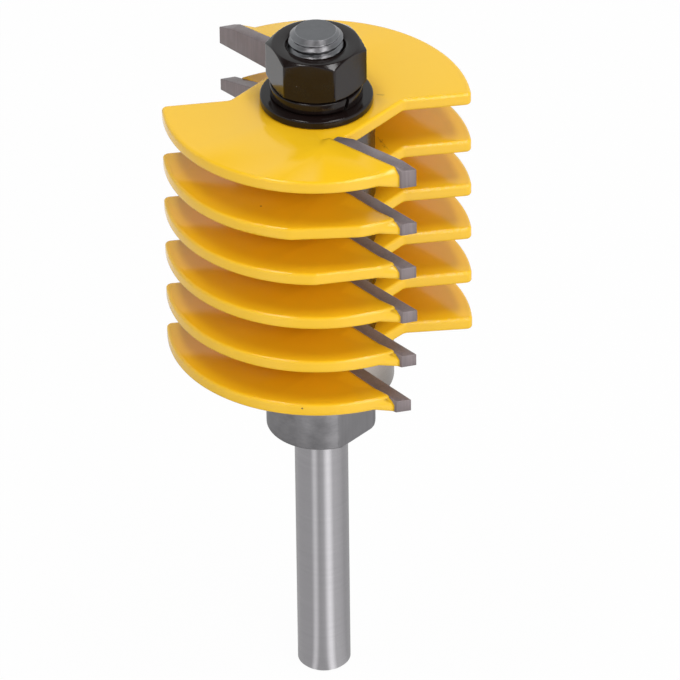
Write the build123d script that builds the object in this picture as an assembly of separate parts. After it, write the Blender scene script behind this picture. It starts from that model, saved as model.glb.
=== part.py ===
from build123d import *
import os
from math import acos, copysign, degrees, hypot, radians, sqrt, tan

# Adjustable finger-joint router bit with an 8 mm shank, in millimetres. The origin is the centre of
# the shank's end, +Z runs up the axis to the nut, and -Y is the front.

# Arbor: shank, collar with two wrench flats, bearing shoulder, spindle with a threaded end
shank_diameter = 8.0
shank_length = 43.5
shank_chamfer = 0.5
collar_diameter = 16.3
collar_height = 8.1
collar_chamfer = 0.25
wrench_flats_across = 14.3
wrench_flat_angle = -42.0
shoulder_diameter = 11.6
shoulder_height = 0.4
spindle_diameter = 8.0
thread_stands_out = 2.1
thread_chamfer = 1.0
bore_clearance = 0.04

# Ball bearing, 8 x 22 x 7, with a shield on each side
bearing_diameter = 22.0
bearing_width = 7.0
inner_ring_wall = 2.01
outer_ring_wall = 1.5
ring_chamfer = 0.35
ball_count = 7
ball_diameter = 3.97
groove_clearance = 0.1
cage_thickness = 1.7
cage_web = 0.55
cage_reach = 0.9
pocket_clearance = 0.1
shield_thickness = 0.35
shield_inset = 0.25
shield_land = 0.45
shield_gap = 0.25
seat_clearance = 0.02
shim_diameter = 11.6
shim_thickness = 0.4

# Six cutters, numbered from the nut down, and the spacers between them. The spacer under the top
# cutter is longer than the others.
cutter_count = 6
cutter_pitch = 7.6
top_spacer_extra = 0.5
cutter_turns = (0.0, 0.0, -0.3, 0.0, -0.5, -2.8)
plate_thickness = 2.0
plate_diameter = 45.3
plate_edge_radius = 0.4
gullet_width = 13.9
gullet_depth = 14.0
gullet_corner_radius = 1.2
wing_corner_y = 1.1
wing_corner_radius = 0.9
spacer_diameter = 17.0
spacer_chamfer = 0.25

# Flats that the balancing grinder left on the front rim: cutter, direction of the flat, depth
balance_flats = ((2, -87.0, 0.6), (3, -79.0, 0.5))
balance_blend = 4.0

# Carbide bars. They are laid out along the cutting face: s runs inward from the tip, w back from
# the face and z up from the plate's middle.
tip_stands_out = 1.95
tip_direction = -54.5
face_direction = 139.5
bar_length = 14.8
bar_thickness = 1.9
bar_top = 1.95
bar_bottom = -2.3
tip_relief = 1.25
finger_tip_top = 0.5
finger_tip_bottom = -1.4
finger_top_taper = 11.0
finger_bottom_taper = 9.0
top_cutter_tip_top = 1.45
top_cutter_taper = 2.5
run_out_length = 3.0
run_out_drop = 0.75
run_out_rise = 1.3

# Seat: the rib of the body that backs each bar and slopes down to the plate behind it
seat_step = 0.1
seat_width = 2.4
seat_end_inset = 0.35
seat_end_slope = 1.0
seat_corner = 0.7
seat_tail = 1.6

# Washers and nut
washer_diameter = 16.6
washer_bore = 8.4
washer_thickness = 1.3
washer_edge_radius = 0.3
lock_washer_diameter = 14.8
lock_washer_bore = 8.2
lock_washer_thickness = 2.0
lock_washer_split = 0.35
lock_washer_split_angle = -50.0
lock_washer_split_slope = 20.0
nut_across_flats = 13.0
nut_height = 6.5
nut_vertex_angle = -9.0
nut_chamfer_angle = 30.0

# Levels along the axis
collar_top = shank_length + collar_height
bearing_bottom = collar_top + shoulder_height
bearing_middle = bearing_bottom + bearing_width / 2
bearing_top = bearing_bottom + bearing_width
shim_top = bearing_top + shim_thickness
stack_top = shim_top + plate_thickness + (cutter_count - 1) * cutter_pitch + top_spacer_extra
lock_washer_bottom = stack_top + washer_thickness
nut_bottom = lock_washer_bottom + lock_washer_thickness
nut_top = nut_bottom + nut_height
thread_end = nut_top + thread_stands_out

bore_radius = spindle_diameter / 2 + bore_clearance
plate_radius = plate_diameter / 2
tip_radius = plate_radius + tip_stands_out
ball_radius = ball_diameter / 2
inner_land = bore_radius + inner_ring_wall
outer_land = bearing_diameter / 2 - outer_ring_wall
ball_circle = (inner_land + outer_land) / 2


def write(name, shape):
    shape.label = name
    export_step(shape, f"parts/{name}.step")


def turned(points):
    """A solid turned about the axis from an outline of (radius, z) points."""
    face = make_face(Polyline(*[(r, 0, z) for r, z in points], close=True))
    return revolve(face, Axis.Z)


def ring(outer, inner, bottom, top):
    """A plain ring from its outer and inner radius and its two levels."""
    return turned([(inner, bottom), (outer, bottom), (outer, top), (inner, top)])


def arbor():
    shank = shank_diameter / 2
    collar = collar_diameter / 2
    shoulder = shoulder_diameter / 2
    spindle = spindle_diameter / 2
    body = turned([
        (0, 0), (shank - shank_chamfer, 0), (shank, shank_chamfer), (shank, shank_length),
        (collar - collar_chamfer, shank_length), (collar, shank_length + collar_chamfer),
        (collar, collar_top - collar_chamfer), (collar - collar_chamfer, collar_top),
        (shoulder, collar_top), (shoulder, bearing_bottom), (spindle, bearing_bottom),
        (spindle, thread_end - thread_chamfer), (spindle - thread_chamfer, thread_end),
        (0, thread_end),
    ])
    block = Box(collar, collar_diameter, collar_height, align=(Align.MIN, Align.CENTER, Align.MIN))
    cut = Pos(wrench_flats_across / 2, 0, shank_length) * block
    for side in (0, 180):
        body -= Rot(0, 0, wrench_flat_angle + side) * cut
    return body


def race_groove():
    """The ring-shaped space that the balls run in."""
    groove = Circle(ball_radius + groove_clearance)
    return revolve(Plane.XZ * Pos(ball_circle, bearing_middle) * groove, Axis.Z)


def inner_ring():
    body = turned([
        (bore_radius + ring_chamfer, bearing_bottom), (inner_land, bearing_bottom),
        (inner_land, bearing_top), (bore_radius + ring_chamfer, bearing_top), (bore_radius, bearing_top - ring_chamfer),
        (bore_radius, bearing_bottom + ring_chamfer),
    ])
    return body - race_groove()


def outer_ring():
    outer = bearing_diameter / 2
    rebate = outer_land + shield_land
    low_step = bearing_bottom + shield_inset + shield_thickness
    high_step = bearing_top - shield_inset - shield_thickness
    body = turned([
        (rebate, bearing_bottom), (outer - ring_chamfer, bearing_bottom),
        (outer, bearing_bottom + ring_chamfer), (outer, bearing_top - ring_chamfer),
        (outer - ring_chamfer, bearing_top), (rebate, bearing_top), (rebate, high_step),
        (outer_land, high_step), (outer_land, low_step), (rebate, low_step),
    ])
    return body - race_groove()


def shield(bottom):
    outer = outer_land + shield_land - seat_clearance
    inner = inner_land + shield_gap
    return ring(outer, inner, bottom, bottom + shield_thickness)


def ball_places():
    first = Pos(ball_circle, 0, bearing_middle)
    return [Rot(0, 0, 360 * i / ball_count) * first for i in range(ball_count)]


def balls():
    return Compound(children=[place * Sphere(ball_radius) for place in ball_places()])


def cage():
    """A crown cage: a ring above the balls whose fingers reach down between them."""
    pocket = ball_radius + pocket_clearance
    inner = ball_circle - cage_thickness / 2
    outer = ball_circle + cage_thickness / 2
    body = ring(outer, inner, bearing_middle - cage_reach, bearing_middle + pocket + cage_web)
    for place in ball_places():
        body -= place * Sphere(pocket)
    return body


def bar_frame():
    """The plane of the bars' layout: x along s, y along w, z up."""
    tip = Vector(tip_radius, 0).rotate(Axis.Z, tip_direction)
    along = Vector(1, 0).rotate(Axis.Z, face_direction)
    return Plane(origin=tip, x_dir=along, z_dir=(0, 0, 1))


def in_bar(s, w):
    """Plan position of a point of the bar's layout."""
    point = bar_frame().from_local_coords(Vector(s, w, 0))
    return point.X, point.Y


def section(points, w):
    """A face standing across the bar at depth w, from (s, z) points."""
    local = [Vector(s, w, z) for s, z in points]
    return make_face(Polyline(*[bar_frame().from_local_coords(p) for p in local], close=True)).face()


def bar_profile(end, tip_top, top_taper):
    """Side outline of a bar whose tip lies at s = end, from the tip's top round to its bottom."""
    run_out = bar_length - run_out_length
    return [
        (end, tip_top), (top_taper, bar_top),
        (run_out, bar_top), (bar_length, bar_top - run_out_drop),
        (bar_length, bar_bottom + run_out_rise), (run_out, bar_bottom),
        (finger_bottom_taper, bar_bottom), (end, finger_tip_bottom),
    ]


def carbide_bar(tip_top, top_taper):
    face = section(bar_profile(0, tip_top, top_taper), 0)
    back = section(bar_profile(tip_relief, tip_top, top_taper), bar_thickness)
    return loft([face, back], ruled=True)


def seat(tip_top, top_taper):
    """The rib behind a bar: a step inside the bar's outline, sloping down into the plate."""
    sunk = plate_thickness / 2 - seat_step
    near = tip_relief + seat_end_inset
    far = near + seat_width * seat_end_slope
    tail = bar_length + seat_tail
    run_out = bar_length - run_out_length
    rise = (bar_top - tip_top) / (top_taper - tip_relief)
    top = tip_top - seat_step
    outline = [
        (near, top - seat_corner), (near + seat_corner, top + rise * seat_corner),
        (top_taper, bar_top - seat_step), (bar_length, bar_top - seat_step),
        (tail, sunk), (tail, -sunk),
        (run_out, bar_bottom + seat_step), (finger_bottom_taper, bar_bottom + seat_step),
        (near, finger_tip_bottom + seat_step),
    ]
    spread = (tail - seat_tail / 2 - far) / (tail - near)
    foot = [(far + (s - near) * spread, copysign(sunk, z)) for s, z in outline]
    foot[0] = (far, 0)
    return loft([section(outline, bar_thickness), section(foot, bar_thickness + seat_width)], ruled=True)


def on_rim(direction):
    point = Vector(plate_radius, 0).rotate(Axis.Z, direction)
    return point.X, point.Y


def gullet_points():
    """Plan points round a gullet: on the rim at the bar's tip, root, inner corner, next wing's rim.

    The first two lie on the bar's mid-line, inside its slot. The gullet's floor is square to it.
    """
    middle = bar_thickness / 2
    x, y = in_bar(0, middle)
    along = Vector(1, 0).rotate(Axis.Z, face_direction)
    inward = -(x * along.X + y * along.Y)
    rim = in_bar(inward - sqrt(inward**2 - x**2 - y**2 + plate_radius**2), middle)
    wing = (sqrt(plate_radius**2 - wing_corner_y**2), wing_corner_y)
    return rim, in_bar(gullet_depth, middle), in_bar(gullet_depth, -gullet_width), wing


def plate_outline():
    """Plan of the two wings before the bars' slots are cut."""
    rim, root, corner, wing = gullet_points()
    middle = on_rim((tip_direction - 180) / 2)
    half = [
        Edge.make_three_point_arc((-wing[0], -wing[1]), middle, rim),
        Edge.make_line(rim, root),
        Edge.make_line(root, corner),
        Edge.make_line(corner, wing),
    ]
    return make_face(half + [edge.rotate(Axis.Z, 180) for edge in half])


def upright_at(part, point):
    """The upright edges at a plan point and at its half turn."""
    found = []
    for edge in part.edges().filter_by(Axis.Z):
        centre = edge.center()
        here = hypot(centre.X - point[0], centre.Y - point[1])
        opposite = hypot(centre.X + point[0], centre.Y + point[1])
        if min(here, opposite) < 1e-3:
            found.append(edge)
    return found


def balanced(body, direction, depth):
    """The plate with a shallow flat ground on its rim, the flat's ends blended in."""
    side = Box(plate_radius, plate_diameter, 2 * plate_thickness,
               align=(Align.MIN, Align.CENTER, Align.CENTER))
    body -= Rot(0, 0, direction) * Pos(plate_radius - depth, 0, 0) * side
    spread = degrees(acos(1 - depth / plate_radius))
    for end in (direction - spread, direction + spread):
        body = fillet(upright_at(body, on_rim(end)), balance_blend)
    return body


def plate(number):
    """The flat body of a cutter, its edges rounded, with the two slots that hold the bars."""
    corner, wing = gullet_points()[2:]
    body = extrude(plate_outline(), plate_thickness / 2, both=True)
    body = fillet(upright_at(body, corner), gullet_corner_radius)
    body = fillet(upright_at(body, wing), wing_corner_radius)
    for cutter, direction, depth in balance_flats:
        if cutter == number:
            body = balanced(body, direction, depth)
    body = fillet(body.faces().filter_by(Axis.Z).edges(), plate_edge_radius)
    slot = Box(bar_length, bar_thickness, 2 * plate_thickness,
               align=(Align.MIN, Align.MIN, Align.CENTER))
    slot = bar_frame().location * slot
    return body - slot - slot.rotate(Axis.Z, 180)


def tip_shape(number):
    """How high a bar's tip reaches, and how far in its top tapers."""
    if number == 1:
        return top_cutter_tip_top, top_cutter_taper
    return finger_tip_top, finger_top_taper


def cutter_middle(number):
    lift = top_spacer_extra if number == 1 else 0
    return shim_top + plate_thickness / 2 + (cutter_count - number) * cutter_pitch + lift


def cutter_body(number):
    body = plate(number)
    rib = seat(*tip_shape(number))
    body += rib
    body += rib.rotate(Axis.Z, 180)
    return body - Cylinder(bore_radius, 2 * plate_thickness)


def spacer(number):
    """The spacer under a cutter."""
    bottom = cutter_middle(number + 1) + plate_thickness / 2
    top = cutter_middle(number) - plate_thickness / 2
    body = ring(spacer_diameter / 2, bore_radius, bottom, top)
    rims = body.edges().filter_by(GeomType.CIRCLE).filter_by(lambda edge: edge.radius > bore_radius + 1)
    return chamfer(rims, spacer_chamfer)


def flat_washer():
    outer = washer_diameter / 2
    body = ring(outer, washer_bore / 2, stack_top, lock_washer_bottom)
    rim = body.edges().filter_by(GeomType.CIRCLE).filter_by(lambda edge: edge.radius > outer - 1e-3)
    return fillet(rim, washer_edge_radius)


def lock_washer():
    """A split spring washer, wound flat by the nut, with its ends cut at a slant."""
    outer = lock_washer_diameter / 2
    body = ring(outer, lock_washer_bore / 2, lock_washer_bottom, nut_bottom)
    slot = Rot(lock_washer_split_slope, 0, 0) * Box(
        outer, lock_washer_split, 4 * lock_washer_thickness,
        align=(Align.MIN, Align.CENTER, Align.CENTER))
    middle = lock_washer_bottom + lock_washer_thickness / 2
    return body - Pos(0, 0, middle) * Rot(0, 0, lock_washer_split_angle) * slot


def hex_nut():
    """A hexagon nut, its corners turned down at both ends. Its bore is at the thread's outer size."""
    flat = nut_across_flats / 2
    slope = tan(radians(nut_chamfer_angle))
    blank = turned([
        (bore_radius, nut_bottom), (flat, nut_bottom),
        (flat + nut_height / 2 / slope, nut_bottom + nut_height / 2),
        (flat, nut_top), (bore_radius, nut_top),
    ])
    hexagon = Rot(0, 0, nut_vertex_angle) * RegularPolygon(nut_across_flats / sqrt(3), 6)
    return blank & Pos(0, 0, nut_bottom) * extrude(hexagon, nut_height)


os.makedirs("parts", exist_ok=True)
write("arbor", arbor())
write("bearing_inner_ring", inner_ring())
write("bearing_outer_ring", outer_ring())
write("bearing_shield_lower", shield(bearing_bottom + shield_inset))
write("bearing_shield_upper", shield(bearing_top - shield_inset - shield_thickness))
write("bearing_balls", balls())
write("bearing_cage", cage())
write("bearing_shim", ring(shim_diameter / 2, bore_radius, bearing_top, shim_top))
for number in range(1, cutter_count + 1):
    place = Pos(0, 0, cutter_middle(number)) * Rot(0, 0, cutter_turns[number - 1])
    bar = carbide_bar(*tip_shape(number))
    write(f"cutter_{number}_body", place * cutter_body(number))
    write(f"cutter_{number}_tip_a", place * bar)
    write(f"cutter_{number}_tip_b", place * bar.rotate(Axis.Z, 180))
for number in range(1, cutter_count):
    write(f"spacer_{number}", spacer(number))
write("flat_washer", flat_washer())
write("lock_washer", lock_washer())
write("hex_nut", hex_nut())
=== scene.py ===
from math import acos, cos, hypot, pi, radians, sin, sqrt, tan

import bmesh
import bpy
from mathutils import Matrix, Vector


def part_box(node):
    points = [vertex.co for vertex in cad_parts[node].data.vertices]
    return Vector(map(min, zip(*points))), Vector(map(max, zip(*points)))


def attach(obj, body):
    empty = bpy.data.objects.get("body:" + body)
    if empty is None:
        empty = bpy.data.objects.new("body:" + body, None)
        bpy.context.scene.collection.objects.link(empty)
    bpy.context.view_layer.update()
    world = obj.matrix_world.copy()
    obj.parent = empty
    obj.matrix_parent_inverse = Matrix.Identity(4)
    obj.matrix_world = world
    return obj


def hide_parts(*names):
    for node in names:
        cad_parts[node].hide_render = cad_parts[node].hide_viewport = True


bl_info = {
    "name": "Finger Joint Router Bit",
    "version": (1, 0, 0),
    "blender": (4, 5, 0),
    "location": "3D View > Sidebar > Router Bit",
    "description": "Builds a stacked finger joint router bit on its packed frame",
    "category": "Object",
}

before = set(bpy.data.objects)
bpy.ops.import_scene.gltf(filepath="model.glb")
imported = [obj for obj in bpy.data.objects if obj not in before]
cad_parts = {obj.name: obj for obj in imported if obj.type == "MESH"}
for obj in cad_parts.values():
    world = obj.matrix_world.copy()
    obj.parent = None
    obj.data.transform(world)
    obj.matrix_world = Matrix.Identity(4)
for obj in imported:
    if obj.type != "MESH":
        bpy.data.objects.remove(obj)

MM = 0.001
CUTTERS = range(1, 7)

# Lengths in millimetres
PLATE_THICKNESS = 2.0
BORE_RADIUS = 4.04
COLLAR_HEIGHT = 8.1
COLLAR_CHAMFER = 0.25
SHANK_CHAMFER = 0.5
SHOULDER_RADIUS = 5.8
SHOULDER_HEIGHT = 0.4
STUD_CHAMFER = 1.0
THREAD_ROW = 0.07
THREAD_RUNOUT = 0.6
BALL_CIRCLE = 7.775
GROOVE_RADIUS = 2.085
OUTER_LAND = 9.5
INNER_LAND = 6.05
SHIELD_SEAT = 9.95
SHIELD_DEPTH = 0.6
SHIELD_BORE = 6.3
SHIELD_RIM = 9.93
FLAT_WASHER_BORE = 4.2
LOCK_WASHER_BORE = 4.1
LOCK_WASHER_TRIM = 0.6
NUT_MOUTH = 4.75
NUT_COUNTERSINK = 0.6
SPACER_EASE = 0.25

# Scratches in the enamel, each with its middle, its direction in plan and its length
SCRATCHES = (((9.3, 1.2, 99.9), 0.3, 1.4), ((9.6, 0.7, 91.8), 1.19, 4.6))

# The picture's width in pixels and the camera's sensor
IMAGE_WIDTH = 680
SENSOR_WIDTH = 36.0


def level(node, end):
    """The lowest (0) or highest (1) level of a node, in millimetres."""
    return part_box(node)[end].z / MM


def reach(node):
    """The radius of a round node, in millimetres."""
    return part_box(node)[1].x / MM


def cutter_middle(number):
    """The middle level of a cutter's plate, from the bottom of what lies on it."""
    return level("flat_washer" if number == 1 else f"spacer_{number - 1}", 0) - PLATE_THICKNESS / 2


def length_setting(name, description, millimetres):
    return bpy.props.FloatProperty(
        name=name, description=description, default=millimetres * MM, unit="LENGTH", precision=6)


def angle_setting(name, description, degrees):
    return bpy.props.FloatProperty(
        name=name, description=description, default=radians(degrees), subtype="ANGLE")


def power_setting(name, description, watts):
    return bpy.props.FloatProperty(name=name, description=description, default=watts, unit="POWER")


def colour_setting(name, description, colour):
    return bpy.props.FloatVectorProperty(
        name=name, description=description, default=colour, size=3, min=0, max=1, subtype="COLOR")


class ArborSettings(bpy.types.PropertyGroup):
    shank_radius: length_setting("Shank radius", "Radius of the shank and of the threaded end", 4.0)
    flat_distance: length_setting("Wrench flat", "Distance of each wrench flat from the axis", 7.15)
    flat_angle: angle_setting("Flat direction", "Direction that the front wrench flat faces", -42.0)
    thread_pitch: length_setting("Thread pitch", "Rise of the thread in one turn", 1.25)
    thread_depth: length_setting("Thread depth", "Depth of the thread's groove", 0.5)
    steel: colour_setting("Steel", "Colour of the ground steel", (0.66, 0.645, 0.67))


class CutterSettings(bpy.types.PropertyGroup):
    edge: length_setting("Edge", "Width of the eased edge of the seats and slots", 0.12)
    softness: length_setting("Paint softness", "Radius over which the enamel rounds the edges off", 0.5)
    paint: colour_setting("Enamel", "Colour of the enamel on the open surfaces", (0.92, 0.55, 0.014))
    # Painted shade: the colour the enamel is given where the plates shade each other, also the colour of
    # its random darker patches
    paint_shade_and_mottle: colour_setting(
        "Enamel in corners", "Colour of the painted shade on the enamel between the plates, and of its darker patches", (0.86, 0.40, 0.006))


class BarSettings(bpy.types.PropertyGroup):
    edge: length_setting("Edge", "Width of the ground edge of a carbide bar", 0.07)
    carbide: colour_setting("Carbide", "Colour of the ground carbide", (0.22, 0.182, 0.186))


class HardwareSettings(bpy.types.PropertyGroup):
    nut_flats: length_setting("Across flats", "Distance between opposite flats of the nut", 13.0)
    nut_turn: angle_setting("Nut turn", "Direction of one corner of the nut", -9.0)
    corner_radius: length_setting("Corner radius", "Radius of the nut's upright corners", 0.35)
    split_angle: angle_setting("Split", "Direction of the lock washer's split", -50.0)
    black: colour_setting("Black oxide", "Colour of the nut and washers", (0.010, 0.0055, 0.005))


class StageSettings(bpy.types.PropertyGroup):
    elevation: angle_setting("Elevation", "Height of the camera above the horizontal", 33.5)
    distance: bpy.props.FloatProperty(
        name="Distance", description="Distance of the camera from the point it looks at",
        default=1.3, unit="LENGTH")
    scale: bpy.props.FloatProperty(
        name="Scale", description="Pixels per millimetre at the point that the camera looks at",
        default=6.734)
    target: bpy.props.FloatVectorProperty(
        name="Target", description="The point that the camera looks at",
        default=(2.98 * MM, 0.0, 57.83 * MM), size=3, subtype="TRANSLATION", unit="LENGTH")
    roll: bpy.props.FloatProperty(
        name="Roll", description="Turn of the camera about its own axis",
        default=-0.0124, subtype="ANGLE")
    left_heading: angle_setting(
        "Left streak", "Direction of the light streak on the floor at the left", -32.6)
    right_heading: angle_setting(
        "Right streak", "Direction of the light streak on the floor at the right", 27.4)
    left_power: power_setting("Left light", "Power of the soft box overhead on the left", 3.4)
    right_power: power_setting("Right light", "Power of the soft box overhead on the right", 3.7)
    low_heading: angle_setting("Low heading", "Direction of the broad low light, from the front", 32.0)
    low_height: angle_setting("Low height", "Elevation of the broad low light", 25.0)
    low_power: power_setting("Low light", "Power of the broad low light in front on the right", 6.3)
    walls: bpy.props.FloatProperty(
        name="Walls", description="Brightness of the white walls around as light on the object",
        default=0.66, min=0)


# Helpers for meshes


def eased(outline, radius, steps=4):
    """The outline with each corner replaced by a short curve, for points of (radius, level)."""
    out = []
    for i, p in enumerate(outline):
        before, after = outline[i - 1], outline[(i + 1) % len(outline)]
        a = Vector(before) - Vector(p)
        b = Vector(after) - Vector(p)
        cut_a = min(radius, 0.45 * a.length)
        cut_b = min(radius, 0.45 * b.length)
        start = Vector(p) + a.normalized() * cut_a
        end = Vector(p) + b.normalized() * cut_b
        for k in range(steps + 1):
            t = k / steps
            out.append(tuple(start * (1 - t) ** 2 + Vector(p) * 2 * t * (1 - t) + end * t * t))
    return out


def turned_rings(outline, angles, shape=None):
    """Rings of points for each (radius, level), passed through a shape function if there is one."""
    rings = []
    for r, z in outline:
        ring = []
        for a in angles:
            radius, height = (r, z) if shape is None else shape(r, z, a)
            ring.append((radius * cos(a), radius * sin(a), height))
        rings.append(ring)
    return rings


def skinned(name, rings, joined):
    """A closed mesh over rings of millimetre points: joined end to end, or with both ends filled."""
    bm = bmesh.new()
    rows = [[bm.verts.new(Vector(p) * MM) for p in ring] for ring in rings]
    count = len(rows[0])
    pairs = list(zip(rows, rows[1:])) + ([(rows[-1], rows[0])] if joined else [])
    for low, high in pairs:
        for i in range(count):
            j = (i + 1) % count
            bm.faces.new((low[i], low[j], high[j], high[i]))
    if not joined:
        bm.faces.new(list(reversed(rows[0])))
        bm.faces.new(rows[-1])
    return finished_mesh(name, bm)


def finished_mesh(name, bm, sharp=32.0, spot=1e-7):
    """An object with the cleaned mesh, smooth but for edges sharper than an angle in degrees."""
    bmesh.ops.remove_doubles(bm, verts=bm.verts, dist=spot)
    bmesh.ops.dissolve_degenerate(bm, edges=bm.edges, dist=spot)
    bmesh.ops.recalc_face_normals(bm, faces=bm.faces)
    mesh = bpy.data.meshes.new(name)
    bm.to_mesh(mesh)
    bm.free()
    mesh.shade_smooth()
    mesh.set_sharp_from_angle(angle=radians(sharp))
    obj = bpy.data.objects.new(name, mesh)
    bpy.context.scene.collection.objects.link(obj)
    return obj


def even_angles(count, exact=()):
    """Angles right round, the nearest of them moved onto each exact angle."""
    angles = [2 * pi * i / count for i in range(count)]
    for wanted in exact:
        wanted %= 2 * pi
        angles[round(wanted / 2 / pi * count) % count] = wanted
    return angles


def lathe(name, outline, count=160, ease=0.08):
    """A closed ring turned from a closed outline of (radius, level)."""
    return skinned(name, turned_rings(eased(outline, ease), even_angles(count)), joined=True)


def cad_copy(node):
    """A mesh copy of a node with its loose triangles merged, as a bmesh in millimetres."""
    bm = bmesh.new()
    bm.from_mesh(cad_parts[node].data)
    bmesh.ops.scale(bm, vec=(1 / MM,) * 3, verts=bm.verts)
    bmesh.ops.remove_doubles(bm, verts=bm.verts, dist=1e-4)
    return bm


def dress(obj, material, slot, body, *nodes):
    """Gives a piece its material and the body it rides on, in place of the nodes; the slot is not used.
    """
    obj.data.materials.clear()
    obj.data.materials.append(material)
    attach(obj, body)
    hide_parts(*nodes)


# Helpers for nodes and materials


class Nodes:
    """Adds nodes to a tree and wires them, a value or a socket for each named input."""

    def __init__(self, tree):
        self.tree = tree

    def feed(self, socket, value):
        """Links a socket to another one, or sets its own value."""
        if isinstance(value, bpy.types.NodeSocket):
            self.tree.links.new(value, socket)
        else:
            socket.default_value = value

    def add(self, kind, values=None, **attributes):
        node = self.tree.nodes.new(kind)
        for name, value in attributes.items():
            setattr(node, name, value)
        for key, value in (values or {}).items():
            self.feed(node.inputs[key], value)
        return node

    def math(self, operation, a, b=0.0, clamp=False):
        node = self.add("ShaderNodeMath", {0: a, 1: b}, operation=operation, use_clamp=clamp)
        return node.outputs[0]

    def vector(self, operation, a, b=(0, 0, 0)):
        node = self.add("ShaderNodeVectorMath", {0: a, 1: b}, operation=operation)
        return node.outputs["Value" if operation in ("DOT_PRODUCT", "LENGTH") else "Vector"]

    def mix(self, factor, a, b):
        """A mix of two colours, each a socket or red, green and blue."""
        node = self.add("ShaderNodeMix", {"Factor": factor}, data_type="RGBA")
        for socket, value in ((node.inputs[6], a), (node.inputs[7], b)):
            self.feed(socket, value if isinstance(value, bpy.types.NodeSocket) else (*value, 1.0))
        return node.outputs[2]

    def noise(self, vector, scale, detail=3.0, roughness=0.5):
        return self.add("ShaderNodeTexNoise", {
            "Vector": vector, "Scale": scale, "Detail": detail, "Roughness": roughness,
        }).outputs["Fac"]

    def spread(self, value, low, high, to_low=0.0, to_high=1.0):
        return self.add("ShaderNodeMapRange", {
            "Value": value, "From Min": low, "From Max": high, "To Min": to_low, "To Max": to_high,
        }).outputs[0]


def node_group(name, inputs, outputs, tree_type="ShaderNodeTree"):
    """An empty node group: a helper to fill it, the sockets it is given and those it gives out."""
    tree = bpy.data.node_groups.new(name, tree_type)
    for label, kind, default in inputs:
        socket = tree.interface.new_socket(label, in_out="INPUT", socket_type="NodeSocket" + kind)
        if default is not None:
            socket.default_value = default
    for label, kind in outputs:
        tree.interface.new_socket(label, in_out="OUTPUT", socket_type="NodeSocket" + kind)
    n = Nodes(tree)
    return n, n.add("NodeGroupInput").outputs, n.add("NodeGroupOutput").inputs


def edge_wear_and_light_group():
    """Shader group: mask of convex and concave edges, broken up so that it comes and goes; it marks
    rubbed edges and also painted highlight and shade along edges.
    """
    n, put, out = node_group(
        "Edge Wear",
        [("Vector", "Vector", None), ("Width", "Float", 0.0002),
         ("Breakup Scale", "Float", 900.0), ("Breakup", "Float", 0.5)],
        [("Mask", "Float")])
    soft = n.add("ShaderNodeBevel", {"Radius": put["Width"]}, samples=4).outputs[0]
    true = n.add("ShaderNodeNewGeometry").outputs["Normal"]
    bend = n.math("SUBTRACT", 1.0, n.vector("DOT_PRODUCT", soft, true))
    edge = n.spread(bend, 0.02, 0.22)
    cloud = n.noise(put["Vector"], put["Breakup Scale"], 4.0)
    lost = n.math("MULTIPLY", n.spread(cloud, 0.35, 0.65), put["Breakup"])
    kept = n.math("SUBTRACT", 1.0, lost)
    n.feed(out["Mask"], n.math("MULTIPLY", edge, kept, clamp=True))


def grain_group():
    """Shader group: fine marks, drawn out along the directions where the stretch is small."""
    n, put, out = node_group(
        "Tool Marks",
        [("Vector", "Vector", None), ("Stretch", "Vector", (1.0, 1.0, 1.0)),
         ("Fineness", "Float", 1000.0)],
        [("Tone", "Float"), ("Height", "Float")])
    along = n.vector("MULTIPLY", put["Vector"], put["Stretch"])
    fine = n.noise(along, put["Fineness"], 5.0, 0.62)
    broad = n.noise(along, n.math("MULTIPLY", put["Fineness"], 0.13), 3.0)
    n.feed(out["Tone"], n.math("ADD", n.math("MULTIPLY", fine, 0.6), n.math("MULTIPLY", broad, 0.4)))
    n.feed(out["Height"], fine)


def soft_edge_group():
    """Shader group: the surface's direction, its edges rounded off, and a mask of painted glints where
    paint beads on the lobes' edges catch the light.
    """
    n, put, out = node_group(
        "Soft Edges",
        [("Vector", "Vector", None), ("Radius", "Float", 0.0003),
         ("Bead Scale", "Float", 1250.0), ("Waves", "Float", 0.1),
         ("Lobe Width", "Float", 0.008)],
        [("Normal", "Vector"), ("Beads", "Float")])
    soft = n.add("ShaderNodeBevel", {"Radius": put["Radius"]}, samples=6).outputs[0]
    true = n.add("ShaderNodeNewGeometry").outputs["Normal"]
    bend = n.math("SUBTRACT", 1.0, n.vector("DOT_PRODUCT", soft, true))
    outward = n.vector("NORMALIZE", n.vector("MULTIPLY", put["Vector"], (1.0, 1.0, 0.0)))
    level_way = n.vector("NORMALIZE", n.vector("MULTIPLY", soft, (1.0, 1.0, 0.0)))
    straight = n.spread(n.vector("DOT_PRODUCT", level_way, outward), 0.5, 0.7, 1.0, 0.0)
    rising = n.spread(n.add("ShaderNodeSeparateXYZ", {0: soft}).outputs[2], 0.1, 0.25)
    aside = n.add("ShaderNodeSeparateXYZ", {0: put["Vector"]}).outputs[1]
    lobe = n.math("LESS_THAN", n.math("ABSOLUTE", aside), put["Lobe Width"])
    # Painted highlight: a pale spot in each cell along the lobes' upper straight edges, where paint beads
    # catch the lamps
    cells = n.add("ShaderNodeTexVoronoi", {
        "Vector": put["Vector"], "Scale": put["Bead Scale"], "Randomness": 1.0})
    painted_glint = n.spread(cells.outputs["Distance"], 0.44, 0.56, 1.0, 0.0)
    for part in (n.spread(bend, 0.02, 0.07), rising, lobe, straight):
        painted_glint = n.math("MULTIPLY", painted_glint, part)
    wave = n.noise(put["Vector"], 240.0, 2.0)
    height = n.math("MULTIPLY", wave, put["Waves"])
    bump = n.add("ShaderNodeBump", {
        "Height": height, "Strength": 1.0, "Distance": 0.06 * MM, "Normal": soft})
    n.feed(out["Normal"], bump.outputs[0])
    n.feed(out["Beads"], painted_glint)


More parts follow.
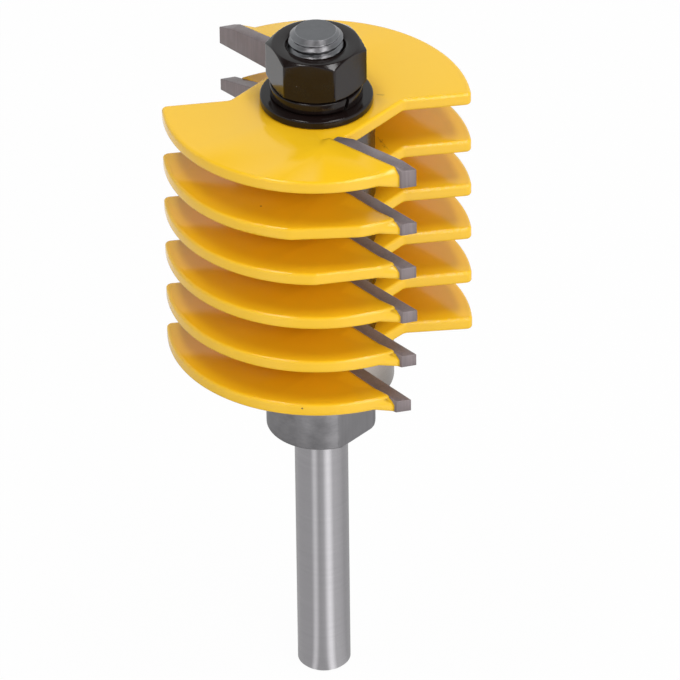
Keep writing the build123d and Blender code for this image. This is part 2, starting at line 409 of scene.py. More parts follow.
def nick_group():
    """Shader group: mask of one fine scratch, from its middle, its direction in plan and its size."""
    n, put, out = node_group(
        "Nick",
        [("Vector", "Vector", None), ("Centre", "Vector", (0.0, 0.0, 0.0)),
         ("Turn", "Float", 0.0), ("Length", "Float", 0.001),
         ("Width", "Float", 0.0001)],
        [("Mask", "Float")])
    offset = n.vector("SUBTRACT", put["Vector"], put["Centre"])
    wobble = n.noise(put["Vector"], 1600.0, 1.0)
    turned = n.add("ShaderNodeVectorRotate", {"Vector": offset, "Angle": put["Turn"]},
                   rotation_type="Z_AXIS").outputs[0]
    parts = n.add("ShaderNodeSeparateXYZ", {0: turned}).outputs
    swing = n.math("MULTIPLY", put["Length"], 0.3)
    sway = n.math("MULTIPLY", n.math("SUBTRACT", wobble, 0.5), swing)
    along = n.math("DIVIDE", n.math("ABSOLUTE", parts[0]), put["Length"])
    across = n.math("DIVIDE", n.math("ABSOLUTE", n.math("ADD", parts[1], sway)), put["Width"])
    near = n.math("LESS_THAN", n.math("ABSOLUTE", parts[2]), 0.8 * MM)
    inside = n.math("MULTIPLY", n.spread(along, 0.5, 0.35), n.spread(across, 0.8, 0.2))
    n.feed(out["Mask"], n.math("MULTIPLY", inside, near, clamp=True))


def speck_group():
    """Shader group: mask of small scattered specks, as dust and pinholes."""
    n, put, out = node_group(
        "Specks",
        [("Vector", "Vector", None), ("Spacing Scale", "Float", 400.0),
         ("Size", "Float", 0.06), ("Share", "Float", 0.1)],
        [("Mask", "Float")])
    cells = n.add("ShaderNodeTexVoronoi", {
        "Vector": put["Vector"], "Scale": put["Spacing Scale"], "Randomness": 1.0})
    near = n.math("LESS_THAN", cells.outputs["Distance"], put["Size"])
    chosen = n.math("LESS_THAN", n.add("ShaderNodeSeparateColor", {
        "Color": cells.outputs["Color"]}).outputs[0], put["Share"])
    n.feed(out["Mask"], n.math("MULTIPLY", near, chosen))


def corner_group():
    """Shader group: how deep a place lies between walls, 0 in the open and 1 in a corner; the mask for
    painted shade.
    """
    n, put, out = node_group(
        "Corners", [("Distance", "Float", 0.004)], [("Mask", "Float")])
    open_sky = n.add("ShaderNodeAmbientOcclusion", {"Distance": put["Distance"]}, samples=6)
    n.feed(out["Mask"], n.math("SUBTRACT", 1.0, open_sky.outputs["AO"]))


def material(name):
    """A new material, the helper for its nodes, its Principled shader and the object's coordinates."""
    mat = bpy.data.materials.new(name)
    mat.use_nodes = True
    mat.node_tree.nodes.clear()
    n = Nodes(mat.node_tree)
    shader = n.add("ShaderNodeBsdfPrincipled")
    out = n.add("ShaderNodeOutputMaterial")
    n.feed(out.inputs["Surface"], shader.outputs[0])
    return mat, n, shader, n.add("ShaderNodeTexCoord").outputs["Object"]


def set_shader(n, shader, **sockets):
    """Links or sets sockets of the shader, their names written with underscores."""
    for name, value in sockets.items():
        n.feed(shader.inputs[name.replace("_", " ")], value)


def placed_group(n, name, values):
    """One of the shared shader groups, placed with its own values."""
    return n.add("ShaderNodeGroup", values, node_tree=bpy.data.node_groups[name])


def bumped(n, height, strength, distance):
    """The surface's direction, bent by a height."""
    bump = n.add("ShaderNodeBump", {"Height": height, "Strength": strength, "Distance": distance})
    return bump.outputs[0]


def steel_material(
        name, colour, stretch, fineness, roughness, marks, mottling=0.0, edge_wear_and_gleam=0.3, edge=0.12):
    """Metal with tool marks across the stretched directions, mottled tone, and edges painted brighter for
    both rubbed bare metal and painted highlight.
    """
    mat, n, shader, where = material(name)
    grain = placed_group(n, "Tool Marks", {"Vector": where, "Stretch": stretch, "Fineness": fineness})
    cloud = n.noise(where, 420.0, 5.0, 0.6)
    tone = n.spread(grain.outputs["Tone"], 0.3, 0.7, 1 - marks, 1 + marks)
    patch = n.spread(cloud, 0.3, 0.7, 1 - mottling, 1 + mottling)
    shade = n.math("MULTIPLY", tone, patch)
    shades = n.add("ShaderNodeCombineXYZ", {0: shade, 1: shade, 2: shade})
    base = n.vector("MULTIPLY", (*colour,), shades.outputs[0])
    edges = placed_group(n, "Edge Wear", {"Vector": where, "Width": edge * MM})
    # Edges painted brighter: partly rubbed bare metal, partly painted highlight where the lamps catch
    # them
    worn_and_gleaming_colour = tuple(min(1.0, c * 3.0) for c in colour)
    lit = n.mix(n.math("MULTIPLY", edges.outputs["Mask"], edge_wear_and_gleam), base, worn_and_gleaming_colour)
    rough = n.spread(cloud, 0.3, 0.7, roughness * 0.85, roughness * 1.2)
    set_shader(n, shader, Base_Color=lit, Metallic=1.0, Roughness=rough,
               Normal=bumped(n, grain.outputs["Height"], 0.25, 0.01 * MM))
    return mat


def enamel_material(settings):
    """Glossy yellow enamel with painted shade, deeper in colour between the plates, and with specks and
    two scratches.
    """
    mat, n, shader, where = material("yellow enamel")
    depth = placed_group(n, "Corners", {"Distance": 9.0 * MM})
    cloud = n.noise(where, 90.0, 3.0)
    # Painted shade: deeper orange where the plates hide the light, from ambient occlusion
    deep = n.math("MULTIPLY", n.spread(depth.outputs["Mask"], 0.15, 0.8), 0.9)
    colour = n.mix(deep, settings.paint, settings.paint_shade_and_mottle)
    colour = n.mix(n.spread(cloud, 0.3, 0.7, 0.0, 0.1), colour, settings.paint_shade_and_mottle)
    specks = placed_group(n, "Specks", {
        "Vector": where, "Spacing Scale": 360.0, "Size": 0.05, "Share": 0.06})
    colour = n.mix(specks.outputs["Mask"], colour, (0.12, 0.055, 0.012))
    for centre, turn, length in SCRATCHES:
        nick = placed_group(n, "Nick", {
            "Vector": where, "Centre": Vector(centre) * MM, "Turn": turn, "Length": length * MM,
            "Width": 0.14 * MM})
        colour = n.mix(n.math("MULTIPLY", nick.outputs["Mask"], 0.7), colour, (0.28, 0.12, 0.01))
    skin = placed_group(n, "Soft Edges", {"Vector": where, "Radius": settings.softness})
    # Painted highlight: pale glints on the paint beads along the lobes' edges
    colour = n.mix(n.math("MULTIPLY", skin.outputs["Beads"], 0.85), colour, (1.0, 0.93, 0.7))
    set_shader(n, shader, Base_Color=colour, Roughness=n.spread(cloud, 0.3, 0.7, 0.13, 0.17),
               Normal=skin.outputs["Normal"])
    return mat


def carbide_material(settings):
    """Grey carbide with upright grinding marks and edges darkened as painted shade."""
    mat, n, shader, where = material("ground carbide")
    grain = placed_group(n, "Tool Marks", {
        "Vector": where, "Stretch": (1.0, 1.0, 0.03), "Fineness": 4200.0})
    cloud = n.noise(where, 500.0, 3.0)
    dark = tuple(c * 0.8 for c in settings.carbide)
    pale = tuple(min(1.0, c * 1.2) for c in settings.carbide)
    colour = n.mix(n.spread(grain.outputs["Tone"], 0.32, 0.68), dark, pale)
    colour = n.mix(n.spread(cloud, 0.5, 0.8, 0.0, 0.3), colour, (0.2, 0.16, 0.14))
    # Painted shade: the edges darkened where the gaps along the bars lie in shadow
    edges = placed_group(n, "Edge Wear", {"Vector": where, "Width": 0.16 * MM, "Breakup": 0.4})
    colour = n.mix(n.math("MULTIPLY", edges.outputs["Mask"], 0.8), colour, (0.06, 0.05, 0.05))
    set_shader(n, shader, Base_Color=colour, Metallic=0.3, Roughness=n.spread(cloud, 0.3, 0.7, 0.3, 0.42),
               Normal=bumped(n, grain.outputs["Height"], 0.3, 0.01 * MM))
    return mat


def black_material(settings):
    """Black oxide with a faint gloss, a few specks and slightly worn edges."""
    mat, n, shader, where = material("black oxide")
    cloud = n.noise(where, 500.0, 4.0)
    edges = placed_group(n, "Edge Wear", {"Vector": where, "Width": 0.14 * MM, "Breakup": 0.75})
    colour = n.mix(n.spread(cloud, 0.4, 0.7, 0.0, 0.5), settings.black, (0.012, 0.010, 0.009))
    colour = n.mix(n.math("MULTIPLY", edges.outputs["Mask"], 0.22), colour, (0.12, 0.11, 0.11))
    specks = placed_group(n, "Specks", {
        "Vector": where, "Spacing Scale": 700.0, "Size": 0.05, "Share": 0.04})
    colour = n.mix(specks.outputs["Mask"], colour, (0.14, 0.13, 0.13))
    set_shader(n, shader, Base_Color=colour, Metallic=0.0, Roughness=n.spread(cloud, 0.3, 0.7, 0.10, 0.2),
               IOR=1.34, Normal=bumped(n, n.noise(where, 900.0), 0.1, 0.02 * MM))
    return mat


# The pieces


class ROUTERBIT_OT_arbor(bpy.types.Operator):
    """Builds the arbor: shank, collar with its wrench flats, spindle and threaded end"""
    bl_idname = "routerbit.arbor"
    bl_label = "Arbor"

    def execute(self, context):
        s = context.scene.routerbit_arbor
        shank = s.shank_radius / MM
        flat = s.flat_distance / MM
        pitch = s.thread_pitch / MM
        depth = s.thread_depth / MM
        top = level("arbor", 1)
        collar = reach("arbor")
        shoulder = level("bearing_inner_ring", 0)
        collar_top = shoulder - SHOULDER_HEIGHT
        collar_low = collar_top - COLLAR_HEIGHT
        thread_low = level("lock_washer", 0)
        outline = eased([
            (shank - SHANK_CHAMFER, 0), (shank, SHANK_CHAMFER), (shank, collar_low),
            (collar - COLLAR_CHAMFER, collar_low), (collar, collar_low + COLLAR_CHAMFER),
            (collar, collar_top - COLLAR_CHAMFER), (collar - COLLAR_CHAMFER, collar_top),
            (SHOULDER_RADIUS, collar_top), (SHOULDER_RADIUS, shoulder), (shank, shoulder),
            (shank, thread_low),
        ], 0.09)[4:-2]
        rows = int((top - thread_low) / THREAD_ROW)
        step = (top - thread_low) / rows
        outline += [(shank, thread_low + step * (k + 1)) for k in range(rows)]
        outline += [(2.9, top), (2.6, top), (0.6, top)]
        limit = acos(flat / collar)
        edges = [s.flat_angle + side + end for side in (0, pi) for end in (-limit, limit)]

        def shape(r, z, a):
            """Cuts the wrench flats and the thread into a point of the turned outline."""
            if z <= collar_top and r > flat:
                facing = abs(cos(a - s.flat_angle))
                return min(r, flat / max(facing, 0.1)), z
            if z > thread_low and r > shank - 0.01:
                turn = (z / pitch - a / 2 / pi) % 1.0
                groove = min(1.0, max(0.0, (abs(turn - 0.5) * 2 - 0.15) / 0.7))
                fade = min(1.0, (z - thread_low) / THREAD_RUNOUT)
                cone = shank - max(0.0, z - (top - STUD_CHAMFER))
                return max(0.5, min(r - depth * groove * fade, cone)), z
            return r, z

        rings = turned_rings(outline, even_angles(192, edges), shape)
        obj = skinned("arbor_steel", rings, joined=False)
        dress(obj, steel_material(
            "ground shank", s.steel, (0.02, 0.02, 1.0), 5200.0, roughness=0.17, marks=0.05),
            "ground_steel", "arbor", "arbor")
        obj.data.materials.append(steel_material(
            "collar steel", tuple(c * 0.43 for c in s.steel), (0.4, 0.4, 1.0), 2600.0,
            roughness=0.36, marks=0.12, mottling=0.14))
        obj.data.materials.append(steel_material(
            "wrench flat", tuple(c * 0.48 for c in s.steel), (1.0, 1.0, 0.04), 2600.0,
            roughness=0.38, marks=0.12))
        obj.data.materials.append(steel_material(
            "stud steel", tuple(c * 0.28 for c in s.steel), (1.0, 1.0, 1.0), 1800.0,
            roughness=0.34, marks=0.06, mottling=0.1, edge_wear_and_gleam=1.0, edge=0.25))
        face_way = Vector((cos(s.flat_angle), sin(s.flat_angle), 0))
        for face in obj.data.polygons:
            z = face.center.z / MM
            if z > thread_low:
                face.material_index = 3
            elif z > collar_low - 0.01:
                on_flat = abs(face.normal.dot(face_way)) > 0.999
                face.material_index = 2 if on_flat else 1
        return {"FINISHED"}


class ROUTERBIT_OT_bearing(bpy.types.Operator):
    """Builds the bearing's rings and shields and the shim, and colours its balls and cage"""
    bl_idname = "routerbit.bearing"
    bl_label = "Guide bearing"

    def execute(self, context):
        low, high = level("bearing_outer_ring", 0), level("bearing_outer_ring", 1)
        middle = (low + high) / 2
        ring_steel = steel_material(
            "bearing ring", (0.46, 0.41, 0.37), (0.05, 0.05, 1.0), 5200.0, roughness=0.2, marks=0.05)
        face_steel = steel_material(
            "bearing shield", (0.40, 0.40, 0.41), (1.0, 1.0, 1.0), 1500.0, roughness=0.26, marks=0.06)

        def ring(name, outline, count, body):
            obj = skinned(name, turned_rings(outline, even_angles(count)), joined=True)
            dress(obj, ring_steel, "bearing_steel", body, "bearing_" + name)

        steps, half = 12, radians(62)
        groove = []
        for k in range(steps + 1):
            a = half - 2 * half * k / steps
            groove.append((BALL_CIRCLE + GROOVE_RADIUS * cos(a), middle + GROOVE_RADIUS * sin(a)))
        outer = reach("bearing_outer_ring")
        outside = eased([(SHIELD_SEAT, low), (outer, low), (outer, high), (SHIELD_SEAT, high)], 0.3)[2:-2]
        race = [(max(OUTER_LAND, r), z) for r, z in groove]
        ring("outer_ring", [
            *outside, (SHIELD_SEAT, high - SHIELD_DEPTH), (OUTER_LAND, high - SHIELD_DEPTH), *race,
            (OUTER_LAND, low + SHIELD_DEPTH), (SHIELD_SEAT, low + SHIELD_DEPTH),
        ], 160, "bearing_outer")
        inside = eased([
            (INNER_LAND, high), (BORE_RADIUS, high), (BORE_RADIUS, low), (INNER_LAND, low)], 0.3)[2:-2]
        race = [(min(INNER_LAND, 2 * BALL_CIRCLE - r), z) for r, z in groove]
        ring("inner_ring", inside + race[::-1], 128, "arbor")

        for name, end, way in (("shield_lower", 0, 1), ("shield_upper", 1, -1)):
            face, back = level("bearing_" + name, end), level("bearing_" + name, 1 - end)
            pressed, rear = face + way * 0.12, back - way * 0.05
            plate = [(SHIELD_BORE, face), (6.9, face), (7.1, pressed), (8.6, pressed), (8.8, face),
                     (SHIELD_RIM, face), (SHIELD_RIM, rear), (SHIELD_BORE, rear)]
            dress(lathe(name, plate, 144, 0.1), face_steel, "bearing_steel", "bearing_outer",
                  "bearing_" + name)
        shim_radius, shim_top = reach("bearing_shim"), level("bearing_shim", 1)
        shim = [(BORE_RADIUS, high), (shim_radius, high), (shim_radius, shim_top),
                (BORE_RADIUS, shim_top)]
        dress(lathe("shim", shim, 96), face_steel, "bearing_steel", "arbor", "bearing_shim")
        for name, steel in (("bearing_balls", ring_steel), ("bearing_cage", face_steel)):
            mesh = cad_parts[name].data
            mesh.materials.clear()
            mesh.materials.append(steel)
        return {"FINISHED"}


class ROUTERBIT_OT_cutters(bpy.types.Operator):
    """Builds the six enamelled cutter bodies with their eased edges"""
    bl_idname = "routerbit.cutters"
    bl_label = "Cutter bodies"

    def execute(self, context):
        s = context.scene.routerbit_cutters
        enamel = enamel_material(s)
        for number in CUTTERS:
            node = f"cutter_{number}_body"
            bm = cad_copy(node)
            eased_edges(bm, s.edge / MM, 28)
            obj = finished_mesh(f"cutter_{number}", bm, sharp=40.0, spot=1e-9)
            dress(obj, enamel, "yellow_paint", "arbor", node)
        return {"FINISHED"}


def eased_edges(bm, width, angle):
    """Bevels the edges sharper than an angle in degrees, then scales from millimetres to metres."""
    bmesh.ops.dissolve_limit(bm, angle_limit=radians(1.0), verts=bm.verts, edges=bm.edges)
    sharp = [e for e in bm.edges if e.is_manifold and e.calc_face_angle() > radians(angle)]
    bmesh.ops.bevel(
        bm, geom=sharp, offset=width, segments=2, profile=0.5, affect="EDGES", clamp_overlap=True)
    bmesh.ops.triangulate(bm, faces=bm.faces)
    bmesh.ops.scale(bm, vec=(MM,) * 3, verts=bm.verts)


def bar_blank(node, middle, edge):
    """One carbide bar about the level of its plate's middle, its edges ground off."""
    bm = cad_copy(node)
    bmesh.ops.translate(bm, vec=(0, 0, -middle), verts=bm.verts)
    eased_edges(bm, edge, 20)
    return finished_mesh("bar_blank", bm, sharp=25.0, spot=1e-9)


def geometry_tree(name, inputs):
    """A Geometry Nodes tree that gives out geometry, with the sockets that node_group gives back."""
    return node_group(name, [(label, kind, None) for label, kind in inputs],
                      [("Geometry", "Geometry")], "GeometryNodeTree")


def real_copies(n, values, stuff, result):
    """Ends a Geometry Nodes tree: instances on points, made real and given their material."""
    copies = n.add("GeometryNodeInstanceOnPoints", values)
    real = n.add("GeometryNodeRealizeInstances", {"Geometry": copies.outputs[0]})
    done = n.add("GeometryNodeSetMaterial", {"Geometry": real.outputs[0], "Material": stuff})
    n.feed(result, done.outputs[0])


def copies_tree():
    """Geometry Nodes: copies of a piece on points, each turned about the axis by its own angle."""
    n, put, out = geometry_tree("Turned Copies", [
        ("Points", "Geometry"), ("Piece", "Object"), ("Material", "Material")])
    piece = n.add("GeometryNodeObjectInfo", {"Object": put["Piece"]})
    turn = n.add("GeometryNodeInputNamedAttribute", {"Name": "turn"}, data_type="FLOAT")
    rotation = n.add("ShaderNodeCombineXYZ", {"Z": turn.outputs["Attribute"]})
    real_copies(n, {
        "Points": put["Points"], "Instance": piece.outputs["Geometry"], "Rotation": rotation.outputs[0],
    }, put["Material"], out[0])
    return n.tree


def with_tree(obj, tree, **inputs):
    """Runs a Geometry Nodes tree on an object and keeps the result as its plain mesh."""
    modifier = obj.modifiers.new(tree.name, "NODES")
    modifier.node_group = tree
    sockets = [item for item in tree.interface.items_tree if item.in_out == "INPUT"]
    identifiers = {socket.name: socket.identifier for socket in sockets}
    for name, value in inputs.items():
        modifier[identifiers[name]] = value
    bpy.context.view_layer.update()
    graph = bpy.context.evaluated_depsgraph_get()
    mesh = bpy.data.meshes.new_from_object(obj.evaluated_get(graph), depsgraph=graph)
    mesh.name = obj.name
    obj.modifiers.clear()
    obj.data = mesh


class ROUTERBIT_OT_bars(bpy.types.Operator):
    """Builds the twelve carbide bars, two on each cutter"""
    bl_idname = "routerbit.bars"
    bl_label = "Carbide bars"

    def execute(self, context):
        s = context.scene.routerbit_bars
        carbide = carbide_material(s)
        tree = copies_tree()
        for name, numbers in (("flat_topped_bars", [1]), ("tapered_bars", [2, 3, 4, 5, 6])):
            blank = bar_blank(f"cutter_{numbers[0]}_tip_a", cutter_middle(numbers[0]), s.edge / MM)
            points = bpy.data.meshes.new(name)
            points.from_pydata([(0, 0, cutter_middle(k) * MM) for k in numbers for _ in "ab"], [], [])
            turns = points.attributes.new("turn", "FLOAT", "POINT")
            angles = [cutter_turn(k) + half for k in numbers for half in (0.0, pi)]
            turns.data.foreach_set("value", angles)
            obj = bpy.data.objects.new(name, points)
            context.scene.collection.objects.link(obj)
            with_tree(obj, tree, Piece=blank, Material=carbide)
            obj.data.set_sharp_from_angle(angle=radians(25))
            bpy.data.objects.remove(blank)
            dress(obj, carbide, "carbide", "arbor",
                  *[f"cutter_{k}_tip_{end}" for k in numbers for end in "ab"])
        return {"FINISHED"}


def cutter_turn(number):
    """How far a cutter is turned from the second one, read from its bar's outermost point."""
    def outermost(k):
        points = [v.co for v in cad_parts[f"cutter_{k}_tip_a"].data.vertices]
        return max(points, key=lambda p: hypot(p.x, p.y)).xy

    return -outermost(2).angle_signed(outermost(number)) if number > 2 else 0.0


def spacer_tree():
    """Geometry Nodes: a column of like rings, each swept from a rounded wall section."""
    n, put, out = geometry_tree("Ring Column", [
        ("Radius", "Float"), ("Wall", "Float"), ("Length", "Float"), ("Edge", "Float"),
        ("Start", "Float"), ("Pitch", "Float"), ("Count", "Int"), ("Material", "Material")])
    middle = n.math("SUBTRACT", put["Radius"], n.math("MULTIPLY", put["Wall"], 0.5))
    path = n.add("GeometryNodeCurvePrimitiveCircle", {"Resolution": 128, "Radius": middle})
    wall = n.add("GeometryNodeCurvePrimitiveQuadrilateral", {
        "Width": put["Wall"], "Height": put["Length"]})
    eased_wall = n.add("GeometryNodeFilletCurve", {
        "Curve": wall.outputs[0], "Count": 4, "Radius": put["Edge"]}, mode="POLY")
    ring = n.add("GeometryNodeCurveToMesh", {
        "Curve": path.outputs[0], "Profile Curve": eased_wall.outputs[0]})
    start = n.add("ShaderNodeCombineXYZ", {"Z": put["Start"]})
    offset = n.add("ShaderNodeCombineXYZ", {"Z": put["Pitch"]})
    line = n.add("GeometryNodeMeshLine", {
        "Count": put["Count"], "Start Location": start.outputs[0], "Offset": offset.outputs[0]})
    real_copies(n, {"Points": line.outputs[0], "Instance": ring.outputs[0]}, put["Material"], out[0])
    return n.tree


class ROUTERBIT_OT_spacers(bpy.types.Operator):
    """Builds the five spacers between the cutters"""
    bl_idname = "routerbit.spacers"
    bl_label = "Spacers"

    def execute(self, context):
        steel = steel_material(
            "dark spacer", (0.11, 0.10, 0.10), (0.05, 0.05, 1.0), 3800.0,
            roughness=0.28, marks=0.1, mottling=0.05)
        tree = spacer_tree()
        for name, numbers in (("top_spacer", [1]), ("spacers", [5, 4, 3, 2])):
            node = f"spacer_{numbers[0]}"
            low, high, radius = level(node, 0), level(node, 1), reach(node)
            pitch = (level(f"spacer_{numbers[-1]}", 0) - low) / max(1, len(numbers) - 1)
            obj = bpy.data.objects.new(name, bpy.data.meshes.new(name))
            context.scene.collection.objects.link(obj)
            with_tree(
                obj, tree, Radius=radius * MM, Wall=(radius - BORE_RADIUS) * MM,
                Length=(high - low) * MM, Edge=SPACER_EASE * MM, Start=(low + high) / 2 * MM,
                Pitch=pitch * MM, Count=len(numbers), Material=steel)
            obj.data.shade_smooth()
            obj.data.set_sharp_from_angle(angle=radians(35))
            dress(obj, steel, "turned_steel", "arbor", *[f"spacer_{k}" for k in numbers])
        return {"FINISHED"}


class ROUTERBIT_OT_washers(bpy.types.Operator):
    """Builds the flat washer and the split lock washer"""
    bl_idname = "routerbit.washers"
    bl_label = "Washers"

    def execute(self, context):
        s = context.scene.routerbit_hardware
        black = bpy.data.materials.get("black oxide") or black_material(s)
        low, high = level("flat_washer", 0), level("flat_washer", 1)
        outer = reach("flat_washer")
        section = [(FLAT_WASHER_BORE, low), (outer, low), (outer, high), (FLAT_WASHER_BORE, high)]
        dress(lathe("flat_washer_black", section, 192, 0.32), black, "black_oxide", "arbor",
              "flat_washer")
        low, high = level("lock_washer", 0), level("lock_washer", 1)
        outer, inner = reach("lock_washer") - LOCK_WASHER_TRIM, LOCK_WASHER_BORE
        # The rise between the two ends in millimetres, their lean and half the gap in radians
        lift, lean, gap = 0.28, 0.09, 0.045
        wall = eased([(inner, low), (outer, low), (outer, high - lift), (inner, high - lift)], 0.22)
        rings = []
        steps = 180
        for k in range(steps + 1):
            t = k / steps
            ring = []
            for r, z in wall:
                across = (z - low) / (high - lift - low) - 0.5
                slant = lean * across * (2 * abs(t - 0.5)) ** 6
                a = s.split_angle + gap + (2 * pi - 2 * gap) * t + slant
                ring.append((r * cos(a), r * sin(a), z + lift * t))
            rings.append(ring)
        dress(skinned("lock_washer_black", rings, joined=False), black, "black_oxide", "arbor",
              "lock_washer")
        return {"FINISHED"}


def spoke(length, heading):
    """A vector in plan of a given length and direction."""
    return Vector((cos(heading), sin(heading))) * length


def rounded_hexagon(flats, turn, radius, per_side):
    """Points right round a hexagon with rounded corners, in millimetres."""
    points = []
    corner = flats / sqrt(3) - radius / cos(pi / 6)
    steps = 4
    for k in range(6):
        heading = turn + k * pi / 3
        for i in range(-steps, steps + 1):
            points.append(spoke(corner, heading) + spoke(radius, heading + pi / 6 * i / steps))
        goal = spoke(corner, heading + pi / 3) + spoke(radius, heading + pi / 6)
        last = points[-1].copy()
        points += [last.lerp(goal, i / per_side) for i in range(1, per_side)]
    return points


class ROUTERBIT_OT_nut(bpy.types.Operator):
    """Builds the hexagon nut with its turned-down corners and countersunk bore"""
    bl_idname = "routerbit.nut"
    bl_label = "Nut"

    def execute(self, context):
        s = context.scene.routerbit_hardware
        black = bpy.data.materials.get("black oxide") or black_material(s)
        low, high = level("hex_nut", 0), level("hex_nut", 1)
        flats = s.nut_flats / MM
        outline = rounded_hexagon(flats, s.nut_turn, s.corner_radius / MM, 22)
        rings = []
        ends = [0.0, 0.02, 0.06, 0.1] + [0.1 + 0.05 * k for k in range(1, 13)]
        rim = 0.12
        widening = 0.92 / tan(radians(30))
        for end, way in ((low, 1), (high, -1)):
            for rise in ends[::way]:
                limit = flats / 2 - rim + rise * widening - (0.0 if rise else rim)
                rings.append([(*(p * min(1.0, limit / p.length)), end + way * rise) for p in outline])
        mouth = [(NUT_MOUTH, 0.0), (NUT_MOUTH - 0.13, 0.03), (BORE_RADIUS, NUT_COUNTERSINK)]
        bore = [(radius, high - depth) for radius, depth in mouth]
        bore += [(radius, low + depth) for radius, depth in reversed(mouth)]
        rings += [[(*(p.normalized() * radius), z) for p in outline] for radius, z in bore]
        obj = skinned("hex_nut_black", rings, joined=True)
        obj.data.set_sharp_from_angle(angle=radians(50))
        dress(obj, black, "black_oxide", "arbor", "hex_nut")
        return {"FINISHED"}


# The stage


def placed(place, side, up, back):
    """The matrix of an object at a place, with its own axes along three directions."""
    return Matrix.Translation(place) @ Matrix((side, up, back)).transposed().to_4x4()


def area_lamp(name, power, size, place, goal, along):
    """A rectangular light at a place, turned to its goal, its longer side in a given direction."""
    data = bpy.data.lights.new(name, "AREA")
    data.shape = "RECTANGLE"
    data.size, data.size_y = size
    data.energy = power
    lamp = bpy.data.objects.new(name, data)
    back = (Vector(place) - Vector(goal)).normalized()
    length = (Vector(along) - back * back.dot(Vector(along))).normalized()
    lamp.matrix_world = placed(place, length.cross(back), length, back)
    bpy.context.scene.collection.objects.link(lamp)


def seen_brightness(n, lit, reflected):
    """Full white for the camera and through glass, one level in reflections, another as light."""
    path = n.add("ShaderNodeLightPath").outputs
    plain = n.math("MAXIMUM", path["Is Camera Ray"], path["Is Transmission Ray"])
    return n.spread(plain, 0.0, 1.0, n.spread(path["Is Glossy Ray"], 0.0, 1.0, lit, reflected), 1.0)


def floor_streak(n, spot, heading, core, edge):
    """Mask of a painted light streak, where a soft box throws its light along the floor, away from the
    shank's foot.
    """
    focus = Vector((sin(heading / 2), -cos(heading / 2), 0)) * 2 * MM
    turned = n.add("ShaderNodeVectorRotate", {
        "Vector": n.vector("SUBTRACT", spot, focus), "Angle": -heading,
    }, rotation_type="Z_AXIS").outputs[0]
    parts = n.add("ShaderNodeSeparateXYZ", {0: turned}).outputs
    along = n.math("MAXIMUM", n.math("MULTIPLY", parts[1], -1.0), 0.0005)
    return n.spread(n.math("DIVIDE", n.math("ABSOLUTE", parts[0]), along), core, edge, 1.0, 0.0)


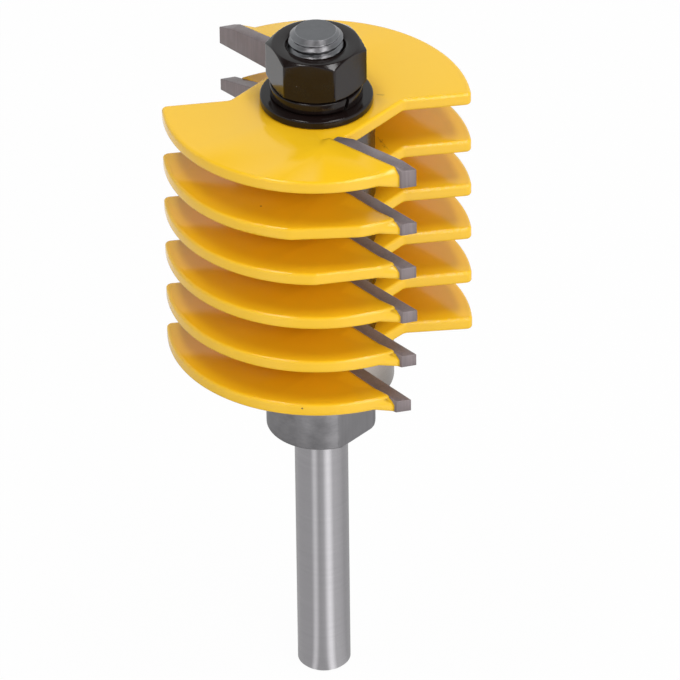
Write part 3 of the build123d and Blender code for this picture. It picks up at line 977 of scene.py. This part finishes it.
class ROUTERBIT_OT_stage(bpy.types.Operator):
    """Builds the white floor, the studio light and the camera"""
    bl_idname = "routerbit.stage"
    bl_label = "Stage"

    def execute(self, context):
        s = context.scene.routerbit_stage
        scene = context.scene
        floor_mesh = bpy.data.meshes.new("floor")
        floor_mesh.from_pydata([(-3, -3, 0), (3, -3, 0), (3, 3, 0), (-3, 3, 0)], [], [(0, 1, 2, 3)])
        floor = bpy.data.objects.new("floor", floor_mesh)
        scene.collection.objects.link(floor)
        mat = bpy.data.materials.new("floor white")
        mat.use_nodes = True
        mat.node_tree.nodes.clear()
        n = Nodes(mat.node_tree)
        matte = n.add("ShaderNodeBsdfDiffuse", {"Color": (0.8, 0.8, 0.8, 1.0)})
        spot = n.add("ShaderNodeTexCoord").outputs["Object"]
        # What the floor shows in reflections: painted shade around the shank's foot and painted light
        # streaks from the soft boxes
        mirrored = n.spread(n.vector("LENGTH", spot), 0.07, 0.13, 0.4, 1.0)
        for heading, core, edge, strength in (
                (s.left_heading, 0.06, 0.3, 0.34), (s.right_heading, 0.08, 0.42, 0.52),
                (s.right_heading + 0.35, 0.2, 1.6, 0.16)):
            streak = n.math("MULTIPLY", floor_streak(n, spot, heading, core, edge), strength)
            mirrored = n.math("ADD", mirrored, streak)
        white = n.add("ShaderNodeEmission", {
            "Color": (1.0, 1.0, 1.0, 1.0), "Strength": seen_brightness(n, 0.0, mirrored)})
        share = seen_brightness(n, 0.0, 1.0)
        both = n.add("ShaderNodeMixShader", {
            0: n.math("MULTIPLY", share, 0.97), 1: matte.outputs[0], 2: white.outputs[0]})
        out = n.add("ShaderNodeOutputMaterial")
        n.feed(out.inputs["Surface"], both.outputs[0])
        floor_mesh.materials.append(mat)

        world = bpy.data.worlds.new("studio")
        scene.world = world
        world.use_nodes = True
        world.node_tree.nodes.clear()
        n = Nodes(world.node_tree)
        direction = n.add("ShaderNodeTexCoord").outputs["Generated"]
        height = n.add("ShaderNodeSeparateXYZ", {0: direction}).outputs[2]
        walls = n.spread(height, 0.62, 0.8, 1.0, 0.04)
        glossy = n.add("ShaderNodeLightPath").outputs["Is Glossy Ray"]
        tint = n.mix(glossy, (1.0, 1.0, 1.0), (0.87, 0.92, 0.93))
        sky = n.add("ShaderNodeBackground", {
            "Color": tint, "Strength": seen_brightness(n, n.math("MULTIPLY", walls, s.walls), walls)})
        out = n.add("ShaderNodeOutputWorld")
        n.feed(out.inputs["Surface"], sky.outputs[0])

        goal = (0, 0, 0.08)
        low = Vector((sin(s.low_heading) * cos(s.low_height), -cos(s.low_heading) * cos(s.low_height),
                      sin(s.low_height)))
        area_lamp("left soft box", s.left_power, (0.18, 0.55), (-0.3, -0.14, 1.1), goal, (0, 1, 0))
        area_lamp("right soft box", s.right_power, (0.18, 0.55), (0.34, -0.14, 1.1), goal, (0, 1, 0))
        area_lamp("low light", s.low_power, (0.4, 0.8), Vector(goal) + low * 1.3, goal, (1, 0, 0))

        fwd = Vector((0, cos(s.elevation), -sin(s.elevation)))
        side = Vector((1, 0, 0))
        up = side.cross(fwd)
        turned_side = cos(s.roll) * side + sin(s.roll) * up
        turned_up = -sin(s.roll) * side + cos(s.roll) * up
        data = bpy.data.cameras.new("camera")
        data.sensor_width = SENSOR_WIDTH
        data.lens = s.scale * s.distance / MM / IMAGE_WIDTH * SENSOR_WIDTH
        data.clip_start, data.clip_end = 0.05, 20.0
        camera = bpy.data.objects.new("camera", data)
        camera.matrix_world = placed(
            Vector(s.target) - fwd * s.distance, turned_side, turned_up, -fwd)
        scene.collection.objects.link(camera)
        scene.camera = camera
        scene.view_settings.view_transform = "Standard"
        return {"FINISHED"}


OPERATORS = (
    ROUTERBIT_OT_arbor, ROUTERBIT_OT_bearing, ROUTERBIT_OT_cutters, ROUTERBIT_OT_bars,
    ROUTERBIT_OT_spacers, ROUTERBIT_OT_washers, ROUTERBIT_OT_nut, ROUTERBIT_OT_stage,
)


class ROUTERBIT_PT_panel(bpy.types.Panel):
    """Lists the pieces of the router bit and their sizes"""
    bl_idname = "ROUTERBIT_PT_panel"
    bl_label = "Router Bit"
    bl_space_type = "VIEW_3D"
    bl_region_type = "UI"
    bl_category = "Router Bit"

    def draw(self, context):
        for operator in OPERATORS:
            self.layout.operator(operator.bl_idname)
        for name in SETTINGS:
            box = self.layout.box()
            group = getattr(context.scene, name)
            for prop in group.bl_rna.properties:
                if prop.identifier not in ("rna_type", "name"):
                    box.prop(group, prop.identifier)


SETTINGS = {
    "routerbit_arbor": ArborSettings, "routerbit_cutters": CutterSettings, "routerbit_bars": BarSettings,
    "routerbit_hardware": HardwareSettings, "routerbit_stage": StageSettings,
}


def register():
    for name, group in SETTINGS.items():
        bpy.utils.register_class(group)
        setattr(bpy.types.Scene, name, bpy.props.PointerProperty(type=group))
    for cls in (*OPERATORS, ROUTERBIT_PT_panel):
        bpy.utils.register_class(cls)


def unregister():
    for cls in reversed((*OPERATORS, ROUTERBIT_PT_panel)):
        bpy.utils.unregister_class(cls)
    for name, group in SETTINGS.items():
        delattr(bpy.types.Scene, name)
        bpy.utils.unregister_class(group)


def main():
    register()
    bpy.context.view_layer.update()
    for build in (edge_wear_and_light_group, grain_group, speck_group, corner_group, soft_edge_group, nick_group):
        build()
    for operator in OPERATORS:
        group, name = operator.bl_idname.split(".")
        getattr(getattr(bpy.ops, group), name)()


if __name__ == "__main__":
    main()
